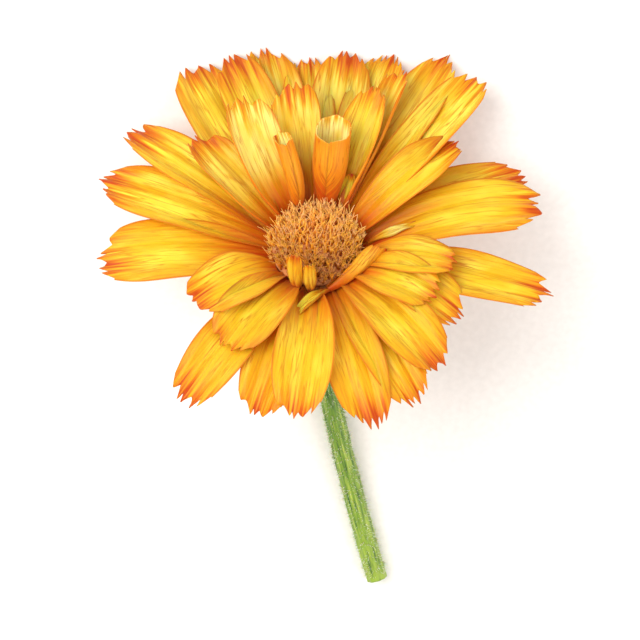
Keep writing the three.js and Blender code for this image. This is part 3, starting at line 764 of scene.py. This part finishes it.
# %% Disc material
# floret tissue is fleshy and dusted with pollen: light soaks in a little, and nothing shines
POLLEN_MM = 1 / 5.2         # clumps of pollen; its real grains of 0.03 mm are too fine to show
disc_tissue, add = new_material("disc_floret_tissue")
rise_up, floret_seed, front = (
    add("Attribute", out="Fac", attribute_name=key) for key in ("rise", "seed", "front"))
# the florets darken towards the foot: partly their own colour, partly painted shade down between them
body = add("ValToRGB", (rise_up,), stops=[
    (0.0, "#B85A02"), (1.0, "#FDC65C"), (0.30, "#D97F0C"), (0.60, "#F4A824"), (0.85, "#FABA42")])
tips = add("ValToRGB", (floret_seed,), stops=[
    (0.0, "#D87810"), (1.0, "#FFD2A2"), (0.3, "#F7AC22"), (0.55, "#FCC048"), (0.8, "#FFC878")])
near_tip = add("MapRange", (rise_up, 0.55, 1.0, 0.0, 0.8), **SMOOTH)
body = add("Mix", {MIX_BY: near_tip, UNDER: body, OVER: tips}, **COLOURS)

# painted shade makes the florets of the near side, at the bottom of the face, browner, and painted
# light makes those of the far side pale; the seed gives each floret a spread of its own
uneven = add("Math", (floret_seed, 0.6, -0.3), operation="MULTIPLY_ADD")
nearness = add("Math", (front, uneven), operation="ADD")
near_side_painted_shade = add("MapRange", (nearness, 0.45, 1.05, 0.0, 0.65))
body = add("Mix", {MIX_BY: near_side_painted_shade, UNDER: body, OVER: colour("#A64E0A")}, **COLOURS)
# painted light on the far side
far_side_painted_light = add("MapRange", (nearness, 0.35, -0.1, 0.0, 0.7))
body = add("Mix", {MIX_BY: far_side_painted_light, UNDER: body, OVER: colour("#FFC78A")}, **COLOURS)
add("OutputMaterial", (add("BsdfPrincipled", {
    "Base Color": body, "Roughness": 0.6, "Specular IOR Level": 0.16, "Subsurface Weight": 0.12,
    "Subsurface Radius": (1.0, 0.5, 0.2), "Subsurface Scale": 0.0005,
    "Normal": add("Bump", {"Strength": 0.3, "Distance": 0.00005, "Height": mottle(add, POLLEN_MM)})}),))
front_share = 0.5 - foot[:, 1] / (2 * DISC_RADIUS)
disc = new_mesh("disc_florets_fine", in_bloom(points), faces, {
    "rise": rise, "seed": draw(owner + 11), "front": front_share[owner]}, disc_tissue)

# %% Forked styles
STYLES = 860                # two for almost every floret
STYLE_RADIUS = 0.085        # about twice the real one, so that it shows
STYLE_ROOT = 0.6            # share of the floret's height where a style leaves it
STYLE_HEIGHT = 1.0          # this and the next two are in mm
STYLE_HEIGHT_SPREAD = 1.3
STYLE_CURL = 0.75           # how far its end bends aside
j = np.arange(STYLES)
host = j % FLORETS
style_foot = foot[host] + axis[host] * (STYLE_ROOT * height[host])[:, None]
style_axis = leaning(lean[host] + 0.5 * (draw(j + 61) - 0.4), angle[host] + 2.4 * (draw(j + 67) - 0.5))
style_height = STYLE_HEIGHT + STYLE_HEIGHT_SPREAD * draw(j + 71) + 0.3 * share[host]
curl = spoke(FULL_TURN * draw(j + 73), STYLE_CURL)
points, faces, rise, owner = many_stalks(
    style_foot, style_axis, FULL_TURN * draw(j + 79),
    STYLE_RADIUS * np.ones((STYLES, 1)) * [1.0, 0.9, 0.75, 0.4],
    style_height[:, None] * [0.0, 0.4, 0.75, 1.0], sides=4, sag=curl)
styles = new_mesh("disc_styles", in_bloom(points), faces, {
    "rise": 0.7 + 0.3 * rise, "seed": 0.45 + 0.55 * draw(owner + 19),
    "front": front_share[host][owner]}, disc_tissue)

# %% The dome under the florets
dome_radii = np.linspace(DISC_RADIUS, 0.6, 14)
dome_profile = [[DISC_RADIUS, DISC_BASE - 0.3], *[[r, dome_height(r) + 0.3] for r in dome_radii]]
points, faces = turned_surface(dome_profile, 64)
zeros = np.zeros(len(points))
dome = new_mesh("disc_dome", in_bloom(points), faces, {
    "rise": zeros, "seed": zeros, "front": zeros + 0.4}, disc_tissue)

# %% [markdown]
# ## The green cup
#
# Behind the petals sits the involucre: a shallow green cup with two rows of narrow bracts, each
# keeled down its back and ending in a brown point. The cup is a turned surface. The bracts could be
# ridges on it, but their tips stand free, so each is a blade along a quadratic curve that hugs the
# cup and spreads at its tip.

# %% A bract's formula
BRACTS_PER_ROW = 13
BRACT_LENGTH = 11.0
BRACT_KEEL = 0.45
BRACT_HALF_THICKNESS = 0.22
BRACT_WIDEST_AT = 0.45      # share of the length
BRACT_REACH_SPREAD = 0.8    # this and the sway are in mm
BRACT_SWAY = 0.5
# root, bend and tip as (radius, height), width, turn of the row in steps
BRACT_ROWS = [((4.3, -9.3), (8.7, -7.7), (12.6, -2.3), 2.9, 0.0),
              ((5.6, -8.0), (9.2, -6.4), (11.6, -2.1), 2.7, 0.5)]


def bract_grid(row_index, steps_along=26, steps_across=12):
    """Middle surfaces of one row of bracts, as an array (bract, along, across, xyz). Radius and
    height are quadratic in s, and across the bract the surface falls away from a keel."""
    root, bend, tip, width, turn = BRACT_ROWS[row_index]
    k = np.arange(BRACTS_PER_ROW)[:, None, None]
    angle = 2 * np.pi * (k + turn) / BRACTS_PER_ROW
    s = np.linspace(0, 1, steps_along + 1)[None, :, None]
    t = np.linspace(-1, 1, steps_across + 1)[None, None, :]
    reach = tip[0] + BRACT_REACH_SPREAD * (draw(row_index * BRACTS_PER_ROW + k + 90) - 0.5)
    radius = (1 - s) ** 2 * root[0] + 2 * s * (1 - s) * bend[0] + s ** 2 * reach
    height = (1 - s) ** 2 * root[1] + 2 * s * (1 - s) * bend[1] + s ** 2 * tip[1]
    past = np.maximum(0, (s - BRACT_WIDEST_AT) / (1 - BRACT_WIDEST_AT))
    half = width / 2 * np.where(s < BRACT_WIDEST_AT, 0.72 + 0.62 * s, 1 - 0.84 * past ** 1.5)
    dip = BRACT_KEEL * np.abs(t) ** 1.4 + 0.05 * np.cos(4 * np.pi * t)
    sway = BRACT_SWAY * (draw(row_index * BRACTS_PER_ROW + k + 140) - 0.5) * s ** 2
    sideways = spoke(angle + np.pi / 2) * (t * half + sway)[..., None]
    blade = spoke(angle) * (radius - dip)[..., None] - sideways
    blade[..., 2] = height + 0.4 * dip
    return in_bloom(blade), s + 0 * (t + k), t + 0 * (s + k), half * t + 0 * k


# %% Green tissue
def green_material(name, stops, rib_mm, roughness):
    """Leaf-like tissue, matt, with light that soaks in a little: a ramp along the piece, and fine
    lengthwise ribs that catch the light, with painted shade in their furrows and painted highlights
    on their crests. Where core is over 0, it shows the pale pith of a cut."""
    material, add = new_material(name)
    along, across_mm, along_mm, seed, core = (
        add("Attribute", out="Fac", attribute_name=key)
        for key in ("along", "across_mm", "along_mm", "seed", "core"))
    layer = add("Math", (seed, 31.0), operation="MULTIPLY")
    ribs = streaks_along(add, across_mm, along_mm, layer, rib_mm, 14, detail=3.0)
    shift = add("Math", (ribs, 0.5, -0.25), operation="MULTIPLY_ADD")
    body = add("ValToRGB", (add("Math", (shift, along), operation="ADD"),), stops=stops)
    # painted shade darkens the furrows between the ribs, and painted highlights make their crests pale
    furrow_painted_shade = add("Math", (ribs, -6.0, 2.9), operation="MULTIPLY_ADD", use_clamp=True)
    body = add("Mix", {MIX_BY: furrow_painted_shade, UNDER: body, OVER: colour("#2F5A1C")}, **COLOURS)
    # painted highlight on the crests
    pale = add("Math", (ribs, 6.0, -3.3), operation="MULTIPLY_ADD", use_clamp=True)
    body = add("Mix", {MIX_BY: pale, UNDER: body, OVER: colour("#B3C558")}, **COLOURS)
    pith = add("ValToRGB", (core,), stops=[
        (0.0, "#7FA23E"), (1.0, "#E4E9BE"), (0.35, "#A7C065"), (0.6, "#D2DDA0")])
    cut = add("Math", (core, 20.0), operation="MULTIPLY", use_clamp=True)
    body = add("Mix", {MIX_BY: cut, UNDER: body, OVER: pith}, **COLOURS)
    relief = add("Bump", {"Strength": 0.5, "Distance": 0.0001, "Height": ribs})
    add("OutputMaterial", (add("BsdfPrincipled", {
        "Base Color": body, "Roughness": roughness, "Subsurface Weight": 0.10, "Subsurface Scale": 0.0008,
        "Subsurface Radius": (0.4, 1.0, 0.2), "Sheen Weight": 0.15, "Normal": relief}),))
    return material


# %% Grow the bracts
bract_tissue = green_material("bract_tissue", [
    (0.0, "#6C9A34"), (1.0, "#6B3018"), (0.3, "#4F8230"), (0.7, "#3F7028"), (0.9, "#5E5524")], 0.35, 0.6)
cup_pieces = []
hair_roots = []
for row_index in range(len(BRACT_ROWS)):
    middle, s, t, flat_mm = bract_grid(row_index)
    half_thickness = BRACT_HALF_THICKNESS * (0.35 + 0.65 * (1 - np.abs(t) ** 4)) * (1 - 0.5 * s)
    points, faces, _ = thin_blades(middle, half_thickness)
    seed = draw(row_index * 20 + np.arange(BRACTS_PER_ROW) + 60)[:, None, None] + 0 * s
    values = both_faces({
        "along": s, "across_mm": flat_mm, "along_mm": BRACT_LENGTH * s, "seed": seed, "core": 0 * s})
    cup_pieces.append(new_mesh(f"bracts_row_{row_index + 1}", points, faces, values, bract_tissue))
    hair_roots.append(middle)

# %% Cup
CUP_PROFILE = np.array([
    [3.0, -11.0], [5.4, -9.4], [7.8, -7.4], [9.3, -5.2], [9.9, -3.2], [9.9, -1.8]])
CUP_RINGS = 30
CUP_MEAN_RADIUS = 8
fine = np.linspace(0, 1, CUP_RINGS)
station = np.linspace(0, 1, len(CUP_PROFILE))
profile = np.stack([np.interp(fine, station, CUP_PROFILE[:, i]) for i in (0, 1)], 1)
points, faces = turned_surface(profile, 96)
# it stops at 0.8, short of the brown of the bracts' points
cup_along = np.clip((points[:, 2] - CUP_PROFILE[0, 1]) / np.ptp(CUP_PROFILE[:, 1]), 0, 0.8)
cup_angle = np.arctan2(points[:, 1], points[:, 0])
cup = new_mesh("cup", in_bloom(points), faces, {
    "along": cup_along, "across_mm": CUP_MEAN_RADIUS * cup_angle, "along_mm": BRACT_LENGTH * cup_along,
    "seed": 0 * cup_along, "core": 0 * cup_along}, bract_tissue)
cup_pieces.append(cup)

# %% [markdown]
# ## The stalk
#
# The stalk leaves the cup along the bloom's axis, bends over and lies along the surface. It is
# ribbed, thickens under the head and ends in a fresh cut with pale pith. A bevelled curve would
# make a plain tube. Here a ribbed ring is carried along a cubic curve, with one side kept on top,
# and the same formula later says where the hairs grow.

# %% The stalk's path
STALK_RADIUS = 1.7
NECK_TOP = BLOOM_CENTRE - 11.3 * FACE
STALK_CURVE = np.array([
    NECK_TOP, NECK_TOP - 13.0 * FACE, [1.5, -18.56, STALK_RADIUS], [8.75, -44.56, STALK_RADIUS]])


def cubic(controls, s):
    """A cubic Bezier curve and its direction: (1-s)^3, 3s(1-s)^2, 3s^2(1-s) and s^3 weigh the
    four controls."""
    a, b, c, d = controls
    s = s[:, None]
    place = (1 - s) ** 3 * a + 3 * s * (1 - s) ** 2 * b + 3 * s ** 2 * (1 - s) * c + s ** 3 * d
    slope = 3 * ((1 - s) ** 2 * (b - a) + 2 * s * (1 - s) * (c - b) + s ** 2 * (d - c))
    return place, unit(slope)


dense = np.linspace(0, 1, 400)
dense_places, _ = cubic(STALK_CURVE, dense)
travel = np.concatenate([[0], np.cumsum(np.linalg.norm(np.diff(dense_places, axis=0), axis=1))])
STALK_LENGTH = travel[-1]
print("stalk length in mm:", round(STALK_LENGTH, 1))

# %% The stalk's skin
STALK_NECK_RADIUS = 2.7
STALK_NECK_LENGTH = 7.0
STALK_RINGS = 150
STALK_SIDES = 72
STALK_RIBS = 9
RIB_HEIGHT = 0.06
WOBBLE = 0.03


def stalk_skin(share, angle):
    """Points on the stalk's skin and the way out from it: share runs from the neck to the cut end,
    angle goes round, with 90 degrees on top. The radius swells at the neck, and nine low ribs and a
    slow wobble vary it."""
    place, along = cubic(STALK_CURVE, np.interp(share * STALK_LENGTH, travel, dense))
    level = unit(np.cross(UP, along))
    upright = np.cross(along, level)
    neck = np.maximum(0, 1 - share * STALK_LENGTH / STALK_NECK_LENGTH)
    radius = STALK_RADIUS + (STALK_NECK_RADIUS - STALK_RADIUS) * neck ** 1.6
    angle = angle + 0 * share[:, None]
    ribs = RIB_HEIGHT * np.cos(STALK_RIBS * angle)
    wobble = WOBBLE * (np.sin(share * 40)[:, None] * np.cos(3 * angle))
    size = radius[:, None] - RIB_HEIGHT / 2 + ribs + wobble
    outward = level[:, None] * np.cos(angle)[..., None] + upright[:, None] * np.sin(angle)[..., None]
    return place[:, None] + outward * size[..., None], outward, place


share = np.linspace(0, 1, STALK_RINGS)
angle = 2 * np.pi * np.arange(STALK_SIDES) / STALK_SIDES
rings, _, centres = stalk_skin(share, angle)

# %% The cut
# each ring of the cut's face: its share of the radius, how far it stands out in mm, and how much
# of the pale pith it shows. The edge is rounded, and the face dips a little towards its middle.
CUT_RINGS = np.array([
    [0.97, 0.00, 0.0], [0.88, -0.02, 0.1], [0.70, -0.12, 0.45], [0.50, -0.18, 0.75], [0.25, -0.22, 0.95]])
CUT_MIDDLE = -0.24
STALK_FLOOR = 0.01
end_direction = unit(centres[-1] - centres[-2])
shrunk = (rings[-1] - centres[-1]) * CUT_RINGS[:, None, 0:1]
cut = centres[-1] + shrunk + end_direction * CUT_RINGS[:, None, 1:2]
rings = np.concatenate([rings, cut])
rings[..., 2] = np.maximum(rings[..., 2], STALK_FLOOR)
points, faces = closed_rings(rings, centres[0], centres[-1] + CUT_MIDDLE * end_direction)
core = np.concatenate([np.zeros(STALK_RINGS), CUT_RINGS[:, 2]])
share = np.concatenate([share, np.ones(len(CUT_RINGS))])

# %% Stalk
stalk_tissue = green_material("stalk_tissue", [
    (0.0, "#4E7F24"), (1.0, "#8FAA36"), (0.35, "#668F28"), (0.8, "#7F9F2E")], 0.42, 0.5)


def per_ring(numbers, ends):
    """One number per ring, spread over its points, and one for each closing point."""
    return np.append(np.repeat(numbers, STALK_SIDES), ends)


stalk = new_mesh("stalk", points, faces, {
    "along": per_ring(share, [0, 1]), "along_mm": per_ring(share * STALK_LENGTH, [0, STALK_LENGTH]),
    "across_mm": np.append(np.tile(angle * STALK_RADIUS, len(rings)), [0, 0]),
    "core": per_ring(core, [0, 1]), "seed": np.zeros(len(points))}, stalk_tissue)

# %% [markdown]
# ## The hairs
#
# The stalk and the bracts of a pot marigold are covered with short white hairs, which show as a
# pale fringe along every edge. Blender has hair of its own, but it isn't a mesh, so it would be
# lost in the export. Instead each hair is a thin three-sided cone that bends a little, and there
# are as many as a mesh of modest size can hold.

# %% One plant hair's look
# a plant hair is a clear cell wall full of air: white, a little glossy, and green at its foot
plant_hair, add = new_material("plant_hair")
rise_up = add("Attribute", out="Fac", attribute_name="rise")
tone = add("ValToRGB", (rise_up,), stops=[(0.0, "#A9C77A"), (0.5, "#F1F5E2")])
add("OutputMaterial", (add("BsdfPrincipled", {
    "Base Color": tone, "Roughness": 0.4, "Subsurface Weight": 0.2, "Subsurface Scale": 0.0003}),))

# %% Hairs on the stalk
HAIR_RADIUS = 0.045         # real hairs are half as thick, too thin to show here
HAIR_LEAN = 0.7             # how far chance turns a hair off its outward direction
HAIR_BEND = 0.3             # share of its length
STALK_HAIRS = 2600
HAIR_FLOOR = 0.03


def grow_hairs(name, foot, outward, length, first_index, tissue):
    """Hairs on the points of foot, each leaning a little off its outward direction."""
    k = first_index + np.arange(len(foot))
    tilt = np.stack([draw(k + 11), draw(k + 23), draw(k + 37)], -1) - 0.5
    axis = unit(outward + HAIR_LEAN * tilt)
    bend = np.stack([draw(k + 41), draw(k + 43), draw(k + 47)], -1) - 0.5
    points, faces, rise, _ = many_stalks(
        foot, axis, FULL_TURN * draw(k), HAIR_RADIUS * np.ones((len(foot), 1)) * [1.0, 0.7, 0.15],
        length[:, None] * [-0.05, 0.5, 1.0], sides=3, sag=HAIR_BEND * length[:, None] * bend)
    points[:, 2] = np.maximum(points[:, 2], HAIR_FLOOR)
    return new_mesh(name, points, faces, {"rise": rise}, tissue)


k = np.arange(STALK_HAIRS)
share = draw(k * 1.7 + 3) ** 1.05 * 0.985
foot, outward, _ = stalk_skin(np.sort(share), (2 * np.pi * draw(k * 2.3 + 9))[:, None])
length = 0.45 + 0.6 * draw(k + 500)
stalk_hairs = grow_hairs("stalk_hairs", foot[:, 0], outward[:, 0], length, 0, plant_hair)

# %% Hairs on the bracts
HAIRS_PER_BRACT = 46
feet = []
ways = []
for row_index, middle in enumerate(hair_roots):
    bracts, rows, columns = middle.shape[:3]
    normal = way_out(middle)
    pick = row_index * 5000 + np.arange(bracts * HAIRS_PER_BRACT)
    at = (np.repeat(np.arange(bracts), HAIRS_PER_BRACT),
          (draw(pick) * (rows - 2)).astype(int) + 1,
          (draw(pick + 0.5) * columns).astype(int))
    edge = (at[2] / (columns - 1) * 2 - 1)[:, None]
    sideways = unit(np.gradient(middle, axis=2))[at]
    feet.append(middle[at] + 0.1 * normal[at])
    ways.append(unit(normal[at] + 0.9 * edge * sideways))
feet = np.concatenate(feet)
length = 0.4 + 0.5 * draw(np.arange(len(feet)) + 800)
bract_hairs = grow_hairs("bract_hairs", feet, np.concatenate(ways), length, 9000, plant_hair)

# %% [markdown]
# ## Tie the pieces to the frame
#
# The flower has no joints, so every piece rides on the one body, "root". Each group of pieces
# stands for one CAD solid, which is hidden, and the list names a material slot of the record beside it.

# %% Ride and replace
GROUPS = [
    ("ray_florets", "petals", [*petal_pieces, receptacle]),
    ("disc_florets", "disc", [disc, styles, dome]),
    ("involucre", "bracts", [*cup_pieces, bract_hairs]),
    ("stem", "stalk", [stalk, stalk_hairs]),
]
for solid, finish, pieces in GROUPS:
    for piece in pieces:
        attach(piece, "root")
        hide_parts(solid)
